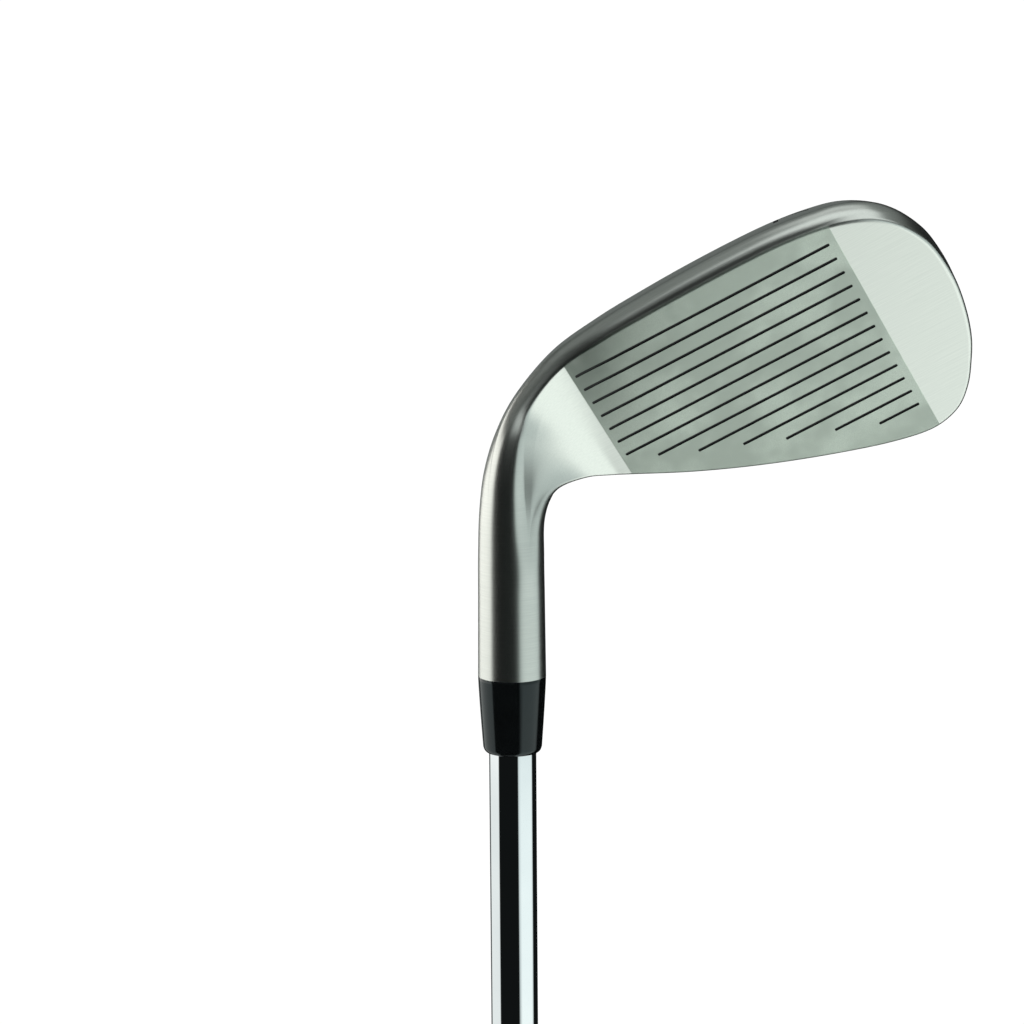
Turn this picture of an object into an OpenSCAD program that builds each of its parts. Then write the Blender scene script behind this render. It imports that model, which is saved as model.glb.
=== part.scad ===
// Right-handed seven iron, head up: +Z runs along the shaft from the grip to the head,
// the face looks to -Y and the toe points to +X. The origin is the middle of the grip's butt.
// Every length is in millimetres and every angle is in degrees.

/* [Club] */
// Length from the butt to the sole, measured along the shaft
club_length = 940; // [880:5:990]
// Angle between the shaft and the ground at address
lie = 62; // [60:0.5:64]
// Angle of the face behind the vertical at address
loft = 32; // [28:1:36]

/* [Head] */
// Distance along the shaft from the hosel's mouth to the sole
hosel_height = 62.9; // [60:0.1:66]
// Outer radius of the hosel at its mouth
hosel_r = 6.74; // [6.4:0.02:7]
// Outer radius of the hosel where it starts to bend
neck_r = 6.5; // [6.3:0.02:6.7]
// Depth of the hosel's bore
bore_depth = 31; // [28:1:34]
// Thickness of the blade along the topline
rim = 6; // [5.5:0.1:6.5]
// Thickness of the face between the grooves and the cavity
face_thickness = 2.8; // [2.4:0.1:3.2]
// Width of the topline's bar above the cavity
bar = 5.2; // [4.6:0.1:6]

/* [Score lines] */
// Number of grooves
groove_count = 13; // [9:1:13]
// Distance from one groove to the next
groove_pitch = 3.82; // [3.6:0.02:3.9]
// Width of a groove
groove_w = 0.7; // [0.5:0.05:0.9]
// Depth of a groove
groove_depth = 0.42; // [0.3:0.02:0.5]

/* [Shaft] */
// Outer radius of the parallel tip section
tip_r = 4.7; // [4.5:0.05:4.8]
// Outer radius at the butt
butt_r = 7.62; // [7.3:0.02:7.8]
// Thickness of the tube's wall
wall = 0.45; // [0.4:0.05:0.6]
// Number of steps between the tip and the butt
step_count = 15; // [10:1:17]
// Length of each step
step_length = 38; // [36:1:40]
// Length of the parallel tip section
tip_length = 215; // [180:5:230]

/* [Ferrule] */
// Length of the ferrule's skirt outside the hosel
ferrule_length = 15.5; // [12:0.5:20]
// Radius of the ferrule's thin end
ferrule_end_r = 5.75; // [5.4:0.05:6]

/* [Grip] */
// Length of the grip
grip_length = 267; // [255:1:275]
// Radius of the grip below the cap
grip_r = 13.1; // [12.5:0.1:13.6]
// Radius of the grip at its mouth
grip_mouth_r = 9.3; // [9:0.1:9.8]
// Radius of the cap
cap_r = 15.2; // [14.8:0.1:15.8]
// Radius of the hole in the cap
vent_r = 1.6; // [1.3:0.1:1.9]

/* [Hidden] */

$fn = 96;
// Height of the plane where the hosel meets the ferrule
seam_z = club_length - hosel_height;
// Length by which a cutter passes the surface that it cuts, and by which it passes a curved one
spare = 1;
far_spare = 3;

// ---- Directions of the head, from the hosel's mouth ----
heel_to_toe = [sin(lie), 0, cos(lie)];
sole_to_top = [cos(lie), 0, -sin(lie)];
backward = [0, 1, 0];
face_up = sin(loft) * backward + cos(loft) * sole_to_top;
face_back = cos(loft) * backward - sin(loft) * sole_to_top;

// Place of the first groove under the hosel's mouth and ahead of the shaft's axis
groove_drop = 46.6;
groove_ahead = 1;
face_zero = -groove_ahead * backward - groove_drop * sole_to_top;

// Point of the face's plane: a runs from heel to toe, b from the first groove to the topline
function face_point(a, b) = face_zero + a * heel_to_toe + b * face_up;

// ---- Guides of the head's skin ----
// The skin is a ladder of rungs. Each rung runs from the topline's edge over the middle line to
// the sole's edge, and fans round the toe. A half rung is a strip with six softened corners that
// goes from the face's middle line over the edge to the back's middle line.
corner_count = 6;
// Heights of the rungs that lie on the round hosel
hosel_rungs = [0, 8, 16, 24];
// Height where the hosel's taper ends
taper_end = 26;
// Rungs of the neck: height and share of blade at the topline's side, the sole's side and the middle,
// and the share of blade on the back, which turns into the blade more slowly
neck_rungs = [
    [30.5, 0.10, 33, 0.08, 31.7, 0.10, 0.06],
    [35.0, 0.42, 41, 0.30, 38.0, 0.37, 0.28],
    [38.5, 0.80, 48, 0.62, 43.0, 0.72, 0.56],
    [41.0, 0.97, 54, 0.90, 47.5, 0.94, 0.80],
    [44.0, 1.00, 60, 1.00, 52.0, 1.00, 0.95]
];
// First corner of the topline's side and of the sole's side that lies on the back
first_back_corner = [2, 5];
// Face's edge along the topline, from the neck to the toe, as [a, b]
top_edge = [[26, 20.6], [29, 22.8], [32, 24.9], [35, 26.6], [38, 28.4], [48, 34.7],
    [58, 40.2], [68, 45], [78, 49.2], [86, 52.1], [93, 53.8]];
// Face's edge round the toe
toe_edge = [[97.6, 53.6], [101.8, 51.7], [105.2, 47.9], [107.8, 43.2], [110.2, 37.6],
    [111.9, 30.6], [112.8, 22.6], [112.4, 14.6], [111, 8.9], [108, 3.4], [103.9, -0.5],
    [98.7, -3]];
// Leading edge, from the neck to the toe
sole_edge = [[17.1, 21.6], [21.1, 13.4], [25.1, 6.6], [29.6, 1], [38, -3.6], [48, -4.9],
    [58, -5.35], [68, -5.55], [78, -5.55], [86, -5.25], [93, -4.4]];
// Middle line of the face
middle_line = [[22, 20.5], [27, 17.5], [31, 15], [34.5, 13.5], [38, 12.5], [48, 14.5],
    [58, 17], [68, 19.5], [78, 21.8], [86, 23.4], [93, 24.5]];
// How far the leading edge stands ahead of the face's plane at each rung of the neck
neck_lift = [17, 12.1, 7.3, 2.9, 0, 0, 0, 0, 0, 0, 0];
// Depth of the sole below the leading edge at each rung, against the middle of the sole
sole_bulge = [1.5, 1.3, 1.08, 0.88, 0.82, 0.9, 0.96, 1, 1, 0.98, 0.94];
// Width of the sole at each rung, against the middle of the sole
sole_width = [0.66, 0.66, 0.7, 0.8, 0.9, 0.97, 1, 1, 1, 1, 1];
// Share of sole in each strip round the toe
toe_share = [0, 0, 0, 0, 0, 0, 0.02, 0.07, 0.2, 0.42, 0.68, 0.88];
// Angles on the hosel where one softened corner ends and the next starts, from the front
top_spans = [40, 78, 100, 120, 140, 160, 180];
sole_spans = [40, -6, -40, -75, -110, -145, -180];
// Share of each arc that its softened corner takes
arc_share = 0.97;
// Softness of the corners along the topline, and along the sole
top_soft = [1, 1.4, 0.6, 0.6, 0.6, 0.6];
sole_soft = [0.35, 2.6, 3.5, 2.2, 1.6, 2.6];
// Places of the topline's corners on the back: distance inside the edge
top_inset = [0, 0, 3, 5, 7, 9];
// Places of the sole's corners: distance below the leading edge and distance behind it
sole_drop = [0, 3.7, 4.3, 3, -8.5];
sole_reach = [0, 0.5, 9, 18.6, 18.2];
// Height above the leading edge where the sole's flange meets the back of the blade
flange_height = 14.5;

rung_count = len(hosel_rungs) + len(top_edge);
neck_start = len(hosel_rungs);
toe_rung = rung_count - 1;
edge_points = concat(top_edge, toe_edge, [for (i = [len(sole_edge) - 1:-1:0]) sole_edge[i]]);

function unit(v) = v / norm(v);
function blend(a, b, share) = (1 - share) * a + share * b;

// Outward direction of the face's edge at point i
function edge_normal(i) =
    let (before = edge_points[max(i - 1, 0)], after = edge_points[min(i + 1, len(edge_points) - 1)],
        along = unit(after - before))
    [-along[1], along[0]];
// The same direction in space, within the face and seen from the front
function in_face(n) = n[0] * heel_to_toe + n[1] * face_up;
function from_front(n) = unit(n[0] * heel_to_toe + n[1] * sole_to_top);

// Radius of the hosel at height z, a slight taper that ends at the neck
function hosel_radius(z) = blend(hosel_r, neck_r, min(z, taper_end) / taper_end);
function round_point(r, angle, z) = [r * sin(angle), -r * cos(angle), z];
function hosel_corner(z, spans, j) =
    let (half = abs(spans[j + 1] - spans[j]) / 2)
    round_point(hosel_radius(z) / cos(half), (spans[j] + spans[j + 1]) / 2, z);
function hosel_corners(z, spans) = [for (j = [0:corner_count - 1]) hosel_corner(z, spans, j)];
function hosel_softness(z, spans) = [for (j = [0:corner_count - 1])
    arc_share * hosel_radius(z) * tan(abs(spans[j + 1] - spans[j]) / 2)];

// Corners of a strip over the topline's bar, and over the sole
function bar_corners(edge, n) = [for (j = [0:corner_count - 1])
    face_point(edge[0], edge[1]) + (j > 0 ? rim : 0) * face_back - top_inset[j] * in_face(n)];
function flange_foot(edge, n) =
    face_point(edge[0], edge[1]) - flange_height * in_face(n) + rim * face_back;
function sole_corners(edge, n, lift, bulge, width) = concat(
    [for (j = [0:corner_count - 2])
        face_point(edge[0], edge[1]) - lift * backward + width * sole_reach[j] * backward
        + (j == 0 || j > 3 ? 1 : bulge) * sole_drop[j] * from_front(n)
        - (j == 1 ? (width - 1) * sole_reach[j] * backward : [0, 0, 0])],
    [flange_foot(edge, n)]);

// One row of guides: middle of the face, six corners, middle of the back, then the softnesses
function guides(front, corners, back, softness) = [concat([front], corners, [back]), softness];

function mid_height(i) = i < neck_start ? hosel_rungs[i] : neck_rungs[i - neck_start][4];
function mid_share(i) = i < neck_start ? 0 : neck_rungs[i - neck_start][5];
function back_share(i) = i < neck_start ? 0 : neck_rungs[i - neck_start][6];
function in_neck(i) = i < neck_start + len(neck_rungs);
function middle_front(i) =
    let (m = i < neck_start ? [0, 0] : middle_line[i - neck_start], on_face = face_point(m[0], m[1]))
    in_neck(i)
        ? blend(round_point(hosel_radius(mid_height(i)), top_spans[0], mid_height(i)),
            on_face, mid_share(i))
        : on_face;
function middle_back(i) =
    let (m = i < neck_start ? [0, 0] : middle_line[i - neck_start],
        on_back = face_point(m[0], m[1]) + rim * face_back)
    in_neck(i)
        ? blend(round_point(hosel_radius(mid_height(i)), 180, mid_height(i)), on_back, back_share(i))
        : on_back;
// Blends the corners of the hosel and of the blade, each with its own share
function corner_share(i, share, side, j) =
    in_neck(i) && j >= first_back_corner[side] ? back_share(i) : share;
function blend_corners(on_hosel, on_blade, i, share, side) =
    [for (j = [0:corner_count - 1]) blend(on_hosel[j], on_blade[j], corner_share(i, share, side, j))];

function top_guides(i) =
    let (k = i - neck_start, z = k < 0 ? hosel_rungs[i] : in_neck(i) ? neck_rungs[k][0] : 0,
        share = k < 0 ? 0 : in_neck(i) ? neck_rungs[k][1] : 1,
        corners = k < 0 ? hosel_corners(z, top_spans)
            : blend_corners(hosel_corners(z, top_spans), bar_corners(top_edge[k], edge_normal(k)),
                i, share, 0))
    guides(middle_front(i), corners, middle_back(i),
        blend_corners(hosel_softness(z, top_spans), top_soft, i, share, 0));
function sole_guides(i) =
    let (k = i - neck_start, z = k < 0 ? hosel_rungs[i] : in_neck(i) ? neck_rungs[k][2] : 0,
        share = k < 0 ? 0 : in_neck(i) ? neck_rungs[k][3] : 1,
        n = edge_normal(len(edge_points) - 1 - max(k, 0)),
        corners = k < 0 ? hosel_corners(z, sole_spans)
            : blend_corners(hosel_corners(z, sole_spans),
                sole_corners(sole_edge[k], n, neck_lift[k], sole_bulge[k], sole_width[k]), i, share, 1))
    guides(middle_front(i), corners, middle_back(i),
        blend_corners(hosel_softness(z, sole_spans), sole_soft, i, share, 1));
function toe_guides(i) =
    let (n = edge_normal(len(top_edge) + i), edge = toe_edge[i],
        corners = blend(bar_corners(edge, n), sole_corners(edge, n, 0, 1, 1), toe_share[i]))
    guides(middle_front(toe_rung), corners, middle_back(toe_rung),
        blend(top_soft, sole_soft, toe_share[i]));
guide_rows = concat(
    [for (i = [0:toe_rung]) top_guides(i)],
    [for (i = [0:len(toe_edge) - 1]) toe_guides(i)],
    [for (i = [toe_rung:-1:0]) sole_guides(i)]);

// Smooth curve through the rows of a table, at a place that counts in rows
function through(rows, place) =
    let (i = max(0, min(floor(place), len(rows) - 2)), t = place - i, p1 = rows[i], p2 = rows[i + 1],
        p0 = i > 0 ? rows[i - 1] : 2 * p1 - p2,
        p3 = i + 2 < len(rows) ? rows[i + 2] : 2 * p2 - p1)
    0.5 * (2 * p1 + t * (p2 - p0) + t * t * (2 * p0 - 5 * p1 + 4 * p2 - p3)
        + t * t * t * (3 * p1 - p0 - 3 * p2 + p3));

// Points of a corner softened over the length soft on both sides
function soft_corner(before, corner, after, soft, parts) =
    let (u = unit(corner - before), v = unit(after - corner),
        turn = acos(max(-1, min(1, u * v))),
        handle = soft * 2 / 3 * (1 - pow(tan(turn / 4), 2)),
        p0 = corner - soft * u, p1 = p0 + handle * u, p3 = corner + soft * v, p2 = p3 - handle * v)
    [for (t = parts) pow(1 - t, 3) * p0 + 3 * pow(1 - t, 2) * t * p1 + 3 * (1 - t) * t * t * p2
        + pow(t, 3) * p3];

// Steps of the skin along a rung and from one rung to the next
corner_parts = [0, 1 / 3, 2 / 3, 1];
middle_parts = [0.5, 0.75, 1];
rung_step = 0.5;
// Rungs between which the steps are half as long
neck_first = 3;
neck_last = 9;
// Share of the free length beside the middle line that is softened
middle_share = 0.9;

last_place = len(guide_rows) - 1;
ladder = concat([for (u = [0:rung_step:neck_first - rung_step / 2]) u],
    [for (u = [neck_first:rung_step / 2:neck_last - rung_step / 4]) u],
    [for (u = [neck_last:rung_step:toe_rung + rung_step / 4]) u]);
ladder_rows = len(ladder);
places = concat(ladder,
    [for (u = [toe_rung + rung_step:rung_step:last_place - toe_rung - rung_step / 2]) u],
    [for (i = [ladder_rows - 1:-1:0]) last_place - ladder[i]]);
smooth_rows = [for (u = places) through(guide_rows, u)];

function middle_soft(row, other) = middle_share * min(
    norm(row[0][1] - row[0][0]) - row[1][0], norm(other[0][1] - other[0][0]) - other[1][0]);
function back_soft(row, other) =
    let (c = corner_count)
    middle_share * min(norm(row[0][c] - row[0][c + 1]) - row[1][c - 1],
        norm(other[0][c] - other[0][c + 1]) - other[1][c - 1]);
function strip(row, other) =
    let (p = row[0], q = other[0], c = corner_count)
    concat(soft_corner(q[1], p[0], p[1], middle_soft(row, other), middle_parts),
        [for (j = [1:c]) each soft_corner(p[j - 1], p[j], p[j + 1], row[1][j - 1], corner_parts)],
        soft_corner(p[c], p[c + 1], q[c], back_soft(row, other),
            [for (i = [len(middle_parts) - 1:-1:0]) 1 - middle_parts[i]]));
row_count = len(places);
// The strip across the middle line from strip i; round the toe it is the strip's own mirror image
function partner(i) =
    let (row = smooth_rows[i], p = row[0], c = corner_count)
    i < ladder_rows || i >= row_count - ladder_rows ? smooth_rows[row_count - 1 - i]
        : [[for (j = [0:c + 1]) j <= 1 ? 2 * p[0] - p[j] : 2 * p[c + 1] - p[j]], row[1]];
strips = [for (i = [0:row_count - 1]) strip(smooth_rows[i], partner(i))];
strip_points = len(strips[0]);

// Number of point j on strip i, where the two middle lines are shared
function skin_index(i, j) =
    let (on_middle = j == 0 || j == strip_points - 1,
        shared = !on_middle || i < ladder_rows ? i
            : i >= row_count - ladder_rows ? row_count - 1 - i : ladder_rows - 1)
    shared * strip_points + j;
mouth_ring = concat([for (j = [0:strip_points - 1]) skin_index(0, j)],
    [for (j = [strip_points - 2:-1:1]) skin_index(row_count - 1, j)]);
mouth_centre = row_count * strip_points;
function is_triangle(t) = t[0] != t[1] && t[1] != t[2] && t[2] != t[0];
skin_triangles = concat(
    [for (i = [0:row_count - 2], j = [0:strip_points - 2])
        let (p = skin_index(i, j), q = skin_index(i, j + 1), r = skin_index(i + 1, j + 1),
            s = skin_index(i + 1, j))
        each [for (t = [[p, r, q], [p, s, r]]) if (is_triangle(t)) t]],
    [for (k = [0:len(mouth_ring) - 1])
        [mouth_centre, mouth_ring[k], mouth_ring[(k + 1) % len(mouth_ring)]]]);

module head_skin() {
    polyhedron(points = concat([for (s = strips) each s], [[0, 0, 0]]), faces = skin_triangles);
}

// ---- Frames of the head ----
// Face's frame: X from heel to toe, Y from sole to topline, Z into the head
module on_face() {
    translate([0, 0, seam_z]) translate(face_zero)
        rotate([0, lie - 90, 0]) rotate([loft - 90, 0, 0]) children();
}
// Sole's frame: X from heel to toe, Y backward, Z out of the sole
module on_sole() {
    translate([0, 0, seam_z]) rotate([0, lie - 90, 0]) children();
}

// ---- Score lines ----
groove_start = 39.4;
groove_end = 94.8;
// Starts of the short grooves, which follow the topline
short_starts = [44.8, 52.1, 60.4, 68.3, 77.6, 85.9];
full_grooves = 7;
function start_of(i) = i < full_grooves ? groove_start : short_starts[i - full_grooves];
module grooves(from_depth, to_depth) {
    for (i = [0:groove_count - 1])
        translate([start_of(i), i * groove_pitch - groove_w / 2, from_depth])
            cube([groove_end - start_of(i), groove_w, to_depth - from_depth]);
}
groove_paint = 0.16;

// ---- Cavity in the back of the blade ----
// The cavity's outline is the face's edge moved inward, closed along the flange
cavity_foot = 12.4;
cavity_heel = 44;
cavity_corner_r = 3.5;
// Height above the foot below which the outline leaves the face's edge
cavity_leave = 4;
function moved_in(i, inset) = edge_points[i] - inset * edge_normal(i);
function cavity_rim(inset) = [for (i = [0:len(edge_points) - 1])
    let (p = moved_in(i, inset))
    if (p[0] > cavity_heel + inset - bar && p[1] > cavity_foot + cavity_leave
        && i < len(top_edge) + len(toe_edge)) p];
function corner_arc(centre, from, to) = [for (t = [0:0.25:1])
    centre + cavity_corner_r * [cos(blend(from, to, t)), sin(blend(from, to, t))]];
function cavity_outline(inset) =
    let (edge = cavity_rim(inset), low = cavity_foot + inset - bar, left = cavity_heel + inset - bar,
        toe = edge[len(edge) - 1])
    concat(edge,
        corner_arc([toe[0] - cavity_corner_r, low + cavity_corner_r], 0, -90),
        corner_arc([left + cavity_corner_r, low + cavity_corner_r], -90, -180));
cavity_top = rim + spare;
// Slot that runs down behind the face, under the flange
slot_heel = 50;
slot_toe = 98;
slot_foot = 1.5;
slot_depth = 2.2;
module slot() {
    translate([slot_heel, slot_foot, face_thickness])
        cube([slot_toe - slot_heel, cavity_foot - slot_foot + spare, slot_depth]);
}

// ---- Weight in the sole's flange ----
weight_place = [86, 0, 49.3];
weight_r = 3.2;
weight_end = 14.1;
weight_length = 9;

// ---- Number on the sole ----
number_place = [90.6, 4.2, 54.5];
number_tilt = 7.65;
number_depth = 0.4;
number_paint = 0.28;
number_stroke = 1;
// Corners of a slim seven, its top towards the heel
seven = [[-3.6, -2.4], [-3.6, 2.2], [3.6, -0.6]];
module number(depth) {
    on_sole() translate(number_place) rotate([0, number_tilt, 0]) translate([0, 0, -depth[0]])
        linear_extrude(depth[0] - depth[1])
            polygon([seven[0], seven[1], seven[2] + [0, number_stroke / 2],
                seven[2] - [0, number_stroke / 2], seven[1] + [number_stroke, -number_stroke],
                seven[0] + [number_stroke, 0]]);
}

// ---- Bore of the hosel ----
glue = 0.12;
tip_gap = 1;
bore_r = tip_r + glue;
tip_z = seam_z + bore_depth - tip_gap;

module head_body() {
    color("#a9aca8") difference() {
        translate([0, 0, seam_z]) head_skin();
        translate([0, 0, seam_z - spare]) cylinder(r = bore_r, h = bore_depth + spare);
        on_face() grooves(-spare, groove_depth);
        on_face() translate([0, 0, face_thickness])
            linear_extrude(cavity_top - face_thickness) polygon(cavity_outline(bar));
        on_face() slot();
        on_sole() translate(weight_place + [0, weight_end, 0]) rotate([90, 0, 0])
            translate([0, 0, -far_spare]) cylinder(r = weight_r, h = weight_length + far_spare);
        number([number_depth, -far_spare]);
    }
}
module score_line_paint() {
    color("#20201f") on_face() grooves(groove_depth - groove_paint, groove_depth);
}
module sole_number_paint() {
    color("#161616") number([number_depth, number_depth - number_paint]);
}
module toe_weight() {
    color("#6f7072") on_sole() translate(weight_place + [0, weight_end, 0]) rotate([90, 0, 0])
        cylinder(r = weight_r, h = weight_length);
}

// ---- Badge in the cavity ----
badge_gap = 0.4;
tape_inset = 1;
tape_thickness = 0.5;
badge_thickness = 1.3;
pad_gap = 0.2;
module cavity_plate(inset, from, thickness) {
    on_face() translate([0, 0, from]) linear_extrude(thickness) polygon(cavity_outline(bar + inset));
}
module badge_tape() {
    color("#3a3a3a") cavity_plate(badge_gap + tape_inset, face_thickness, tape_thickness);
}
module badge_pad() {
    color("#2c2d2f") on_face() translate([slot_heel, slot_foot, face_thickness])
        cube([slot_toe - slot_heel, cavity_foot - slot_foot - pad_gap, slot_depth]);
}
module cavity_badge() {
    color("#8b9094") cavity_plate(badge_gap, face_thickness + tape_thickness, badge_thickness);
}

module hosel_epoxy() {
    color("#c9c2a0") difference() {
        translate([0, 0, seam_z]) cylinder(r = bore_r, h = bore_depth);
        translate([0, 0, seam_z - spare]) cylinder(r = tip_r, h = tip_z - seam_z + spare);
    }
}

// ---- Ferrule ----
ferrule_round = 1.1;
ferrule_fall = 1.2;
// Swelling where the rounded end starts
ferrule_swell = 0.05;
function ferrule_radius(t) = hosel_r - (hosel_r - ferrule_end_r) * pow(t, ferrule_fall);
module ferrule() {
    foot = seam_z - ferrule_length;
    side = [for (t = [0:0.1:0.9]) [ferrule_radius(t), seam_z - t * ferrule_length]];
    centre = [ferrule_end_r + ferrule_swell - ferrule_round, foot + ferrule_round];
    round_end = [for (a = [0:-15:-90]) centre + ferrule_round * [cos(a), sin(a)]];
    color("#0e0f10") rotate_extrude()
        polygon(concat([[tip_r, seam_z]], side, round_end, [[tip_r, foot]]));
}

// ---- Shaft ----
step_taper = 1.6;
first_step = tip_z - tip_length;
butt_z = 5;
function step_height(k) = first_step - k * step_length;
function step_radius(k) = tip_r + (butt_r - tip_r) * (k + 1) / step_count;
function radius_below(k) = k < 0 ? tip_r : step_radius(k);
// Outline of the stepped shaft between two heights, moved outward by grow
function steps_above(z) = len([for (k = [0:step_count - 1]) if (step_height(k) > z) k]);
function stepped(high, low, grow) = concat(
    [[radius_below(steps_above(high) - 1) + grow, high]],
    [for (k = [0:step_count - 1]) if (step_height(k) < high && step_height(k) - step_taper > low)
        each [[radius_below(k - 1) + grow, step_height(k)],
            [step_radius(k) + grow, step_height(k) - step_taper]]],
    [[radius_below(steps_above(low) - 1) + grow, low]]);
function reversed(list) = [for (i = [len(list) - 1:-1:0]) list[i]];
module shaft() {
    color("#d5d9dd") rotate_extrude()
        polygon(concat(stepped(tip_z, butt_z, 0), reversed(stepped(tip_z, butt_z, -wall))));
}
plug_length = 24;
module tip_weight() {
    color("#b08d3e") translate([0, 0, tip_z - plug_length]) cylinder(r = tip_r - wall, h = plug_length);
}

// ---- Label band on the shaft ----
band_length = 30;
band_thickness = 0.08;
band_step = 10;
band_gap = 1;
module shaft_band() {
    top = step_height(band_step) - step_taper - band_gap;
    color("#2f3336") rotate_extrude()
        polygon(concat(stepped(top, top - band_length, band_thickness),
            reversed(stepped(top, top - band_length, 0))));
}

// ---- Grip ----
tape = 0.15;
cap_height = 9;
// Distance from the grip's mouth to the end of its tape
tape_end = 4;
module grip_tape() {
    color("#d8d2c4") rotate_extrude()
        polygon(concat(stepped(grip_length - tape_end, butt_z, tape),
            reversed(stepped(grip_length - tape_end, butt_z, 0))));
}
grip_fall = 1.35;
bead_height = 5;
bead_rise = 1.2;
mouth_inset = 1;
neck_of_grip = 8.75;
function grip_radius(z) = blend(neck_of_grip, grip_r,
    pow(1 - (z - cap_height) / (grip_length - cap_height), grip_fall));
mark_heights = [236, 242, 248];
mark_width = 1.2;
mark_depth = 0.35;
module mark_ring(z, grow) {
    translate([0, 0, z]) difference() {
        cylinder(r = grip_radius(z) + grow, h = mark_width);
        translate([0, 0, -spare]) cylinder(r = grip_radius(z) - mark_depth, h = mark_width + 2 * spare);
    }
}
module grip_sleeve() {
    body = [for (t = [0:0.05:0.95]) let (z = blend(cap_height, grip_length - bead_height, t))
        [grip_radius(z), z]];
    bead = [[grip_radius(grip_length - bead_height), grip_length - bead_height],
        [grip_mouth_r, grip_length - bead_height + bead_rise],
        [grip_mouth_r, grip_length - bead_rise], [grip_mouth_r - mouth_inset, grip_length]];
    inside = [[radius_below(steps_above(grip_length) - 1) + tape, grip_length]];
    color("#1b1b1c") difference() {
        rotate_extrude() polygon(concat(body, bead, inside,
            stepped(grip_length - tape_end, cap_height, tape)));
        for (z = mark_heights) mark_ring(z, spare);
    }
}
module grip_marks() {
    color("#e6e6e2") for (z = mark_heights) mark_ring(z, 0);
}
// Rounding of the cap's edges, height of its side, and the lip where it meets the sleeve
cap_rounding = 2.6;
cap_side = 0.6;
cap_lip = [0.2, 1.6];
function cap_arc(lift, from, to) = [for (a = [from:15:to])
    [cap_r - cap_rounding, cap_rounding + lift] + cap_rounding * [cos(a), sin(a)]];
module grip_cap() {
    outer = concat(cap_arc(0, -90, 0), cap_arc(cap_side, 0, 60),
        [[grip_r + cap_lip[0], cap_height - cap_lip[1]], [grip_r, cap_height]]);
    color("#141415") rotate_extrude() polygon(concat([[vent_r, 0]], outer,
        [[butt_r + tape, cap_height], [butt_r + tape, butt_z], [vent_r, butt_z]]));
}

head_body();
score_line_paint();
sole_number_paint();
toe_weight();
badge_tape();
badge_pad();
cavity_badge();
hosel_epoxy();
tip_weight();
ferrule();
shaft();
shaft_band();
grip_tape();
grip_sleeve();
grip_marks();
grip_cap();
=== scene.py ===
import math

import bmesh
import bpy
import numpy as np
from mathutils import Matrix, Vector


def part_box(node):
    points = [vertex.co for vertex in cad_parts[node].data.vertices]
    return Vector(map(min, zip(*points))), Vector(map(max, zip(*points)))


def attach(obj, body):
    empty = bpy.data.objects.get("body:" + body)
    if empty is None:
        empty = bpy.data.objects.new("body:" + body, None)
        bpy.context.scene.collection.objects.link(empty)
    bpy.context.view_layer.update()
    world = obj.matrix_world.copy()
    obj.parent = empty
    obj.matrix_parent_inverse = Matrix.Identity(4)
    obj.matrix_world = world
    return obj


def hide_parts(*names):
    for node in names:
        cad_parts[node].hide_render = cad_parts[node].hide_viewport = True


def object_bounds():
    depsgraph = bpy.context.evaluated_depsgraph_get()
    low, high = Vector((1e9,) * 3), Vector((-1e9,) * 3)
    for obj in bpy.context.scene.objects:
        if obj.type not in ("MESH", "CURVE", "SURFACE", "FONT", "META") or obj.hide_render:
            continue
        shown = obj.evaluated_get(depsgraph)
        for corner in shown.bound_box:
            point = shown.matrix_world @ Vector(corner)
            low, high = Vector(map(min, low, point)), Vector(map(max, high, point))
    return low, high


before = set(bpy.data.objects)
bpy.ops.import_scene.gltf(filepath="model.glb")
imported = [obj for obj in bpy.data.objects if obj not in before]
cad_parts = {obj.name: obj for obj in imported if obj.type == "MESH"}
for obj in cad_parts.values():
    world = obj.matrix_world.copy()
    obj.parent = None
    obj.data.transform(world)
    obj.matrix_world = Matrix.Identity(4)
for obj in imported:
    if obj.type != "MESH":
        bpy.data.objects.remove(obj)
cad_low, cad_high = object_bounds()
scene = bpy.context.scene
MM = 0.001

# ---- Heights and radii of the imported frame, in millimetres ----


def turned_box(node):
    """Radius, foot and top of a node that is turned round the shaft's axis."""
    low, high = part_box(node)
    return float(high[0] / MM), float(low[2] / MM), float(high[2] / MM)


FERRULE_FOOT, SEAM_Z = turned_box("ferrule")[1:]
BUTT_R, BUTT_Z, TIP_Z = turned_box("shaft")
GRIP_START, GRIP_END = turned_box("grip_sleeve")[1:]
CAP_R, CAP_FOOT, CAP_TOP = turned_box("grip_cap")
BAND_R, BAND_FOOT, BAND_TOP = turned_box("shaft_band")
TIP_R = 4.7
ON_AXIS = 1e-6

# ---- Directions of the head ----
LIE = math.radians(62)
LOFT = math.radians(32)
HEEL_TO_TOE = np.array([math.sin(LIE), 0, math.cos(LIE)])
SOLE_TO_TOP = np.array([math.cos(LIE), 0, -math.sin(LIE)])
BACKWARD = np.array([0.0, 1.0, 0.0])
FACE_UP = math.sin(LOFT) * BACKWARD + math.cos(LOFT) * SOLE_TO_TOP
FACE_BACK = math.cos(LOFT) * BACKWARD - math.sin(LOFT) * SOLE_TO_TOP
# The lowest score line's place from the shaft's axis: forward, and towards the sole
FACE_FORWARD, FIRST_LINE = 1.0, 46.6
FACE_ZERO = -FACE_FORWARD * BACKWARD - FIRST_LINE * SOLE_TO_TOP
SEAM = np.array([0, 0, SEAM_Z])


def face_point(a, b, depth=0.0):
    """Point of the face, from the hosel's mouth: a from heel to toe, b from sole to topline."""
    return FACE_ZERO + a * HEEL_TO_TOE + b * FACE_UP + depth * FACE_BACK


# ---- Meshes ----


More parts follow.
